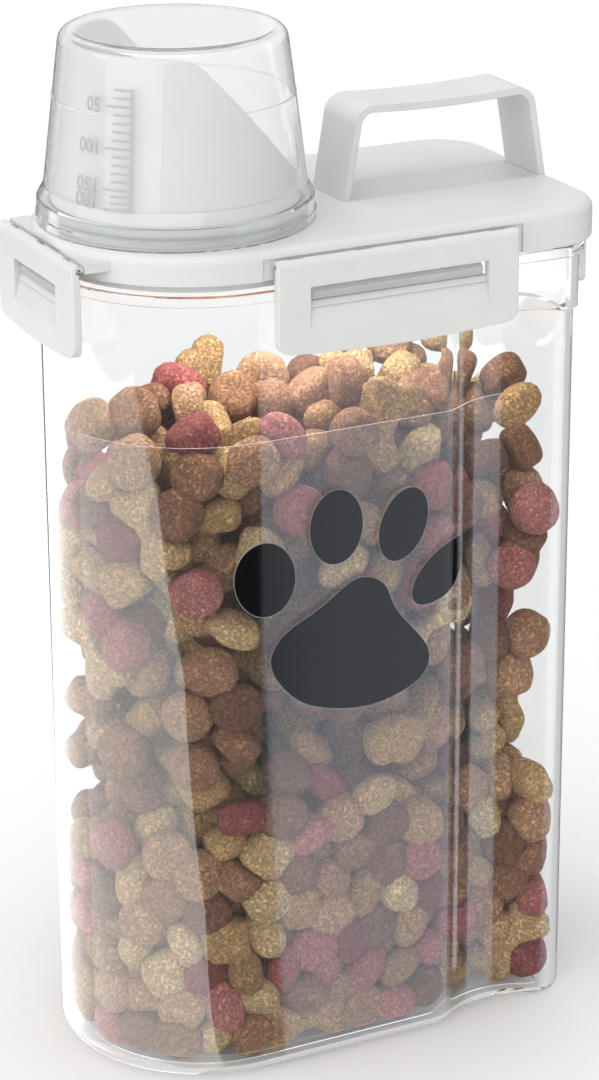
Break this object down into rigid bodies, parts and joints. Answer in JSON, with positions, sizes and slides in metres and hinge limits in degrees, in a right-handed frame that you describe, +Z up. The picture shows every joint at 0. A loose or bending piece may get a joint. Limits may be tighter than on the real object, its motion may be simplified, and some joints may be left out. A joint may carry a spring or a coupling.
{
  "type": "pet food bin",
  "caption": "Tall clear dry-food bin with a finger-grip waist, latched lid, strap handle, pouring spout and a measuring cup as its cap.",
  "frame": {"origin": "centre of the bounding box in plan, on the floor under the container", "axes": "+X towards the flat end with the handle, -X towards the round pouring end, +Y towards the back side, +Z up"},
  "size_m": [0.1734, 0.105, 0.3286],
  "materials": {
    "clear_plastic": "gloss",
    "film": "gloss",
    "white_plastic": "satin",
    "silicone": "matte"
  },
  "bodies": {
    "container": {"container": "clear_plastic", "film_label": "film", "front_catch_lip": "clear_plastic", "back_catch_lip": "clear_plastic", "pour_end_catch_lip": "clear_plastic", "handle_end_catch_lip": "clear_plastic"},
    "lid": {"lid": "white_plastic", "lid_gasket": "silicone", "handle": "white_plastic", "pour_spout": "white_plastic", "spout_seal": "silicone"},
    "cup": {"measuring_cup": "clear_plastic"},
    "front_latch": {"front_latch": "white_plastic"},
    "back_latch": {"back_latch": "white_plastic"},
    "pour_end_latch": {"pour_end_latch": "white_plastic"},
    "handle_end_latch": {"handle_end_latch": "white_plastic"}
  },
  "joints": [
    {"name": "lid_lift", "type": "slide", "parent": "container", "child": "lid", "axis": [0, 0, 1], "range_m": [0, 0.07], "deforming": ["front_catch_lip", "back_catch_lip", "pour_end_catch_lip", "handle_end_catch_lip"]},
    {"name": "cup_lift", "type": "slide", "parent": "lid", "child": "cup", "axis": [0, 0, 1], "range_m": [0, 0.07]},
    {"name": "front_latch_hinge", "type": "hinge", "parent": "lid", "child": "front_latch", "pos_m": [0.0086, -0.0502, 0.2664], "axis": [-1, 0, 0], "range_deg": [0, 100]},
    {"name": "back_latch_hinge", "type": "hinge", "parent": "lid", "child": "back_latch", "pos_m": [0.0086, 0.0502, 0.2664], "axis": [1, 0, 0], "range_deg": [0, 100]},
    {"name": "pour_end_latch_hinge", "type": "hinge", "parent": "lid", "child": "pour_end_latch", "pos_m": [-0.0844, 0, 0.2664], "axis": [0, 1, 0], "range_deg": [0, 100]},
    {"name": "handle_end_latch_hinge", "type": "hinge", "parent": "lid", "child": "handle_end_latch", "pos_m": [0.0844, 0, 0.2664], "axis": [0, -1, 0], "range_deg": [0, 100]}
  ]
}
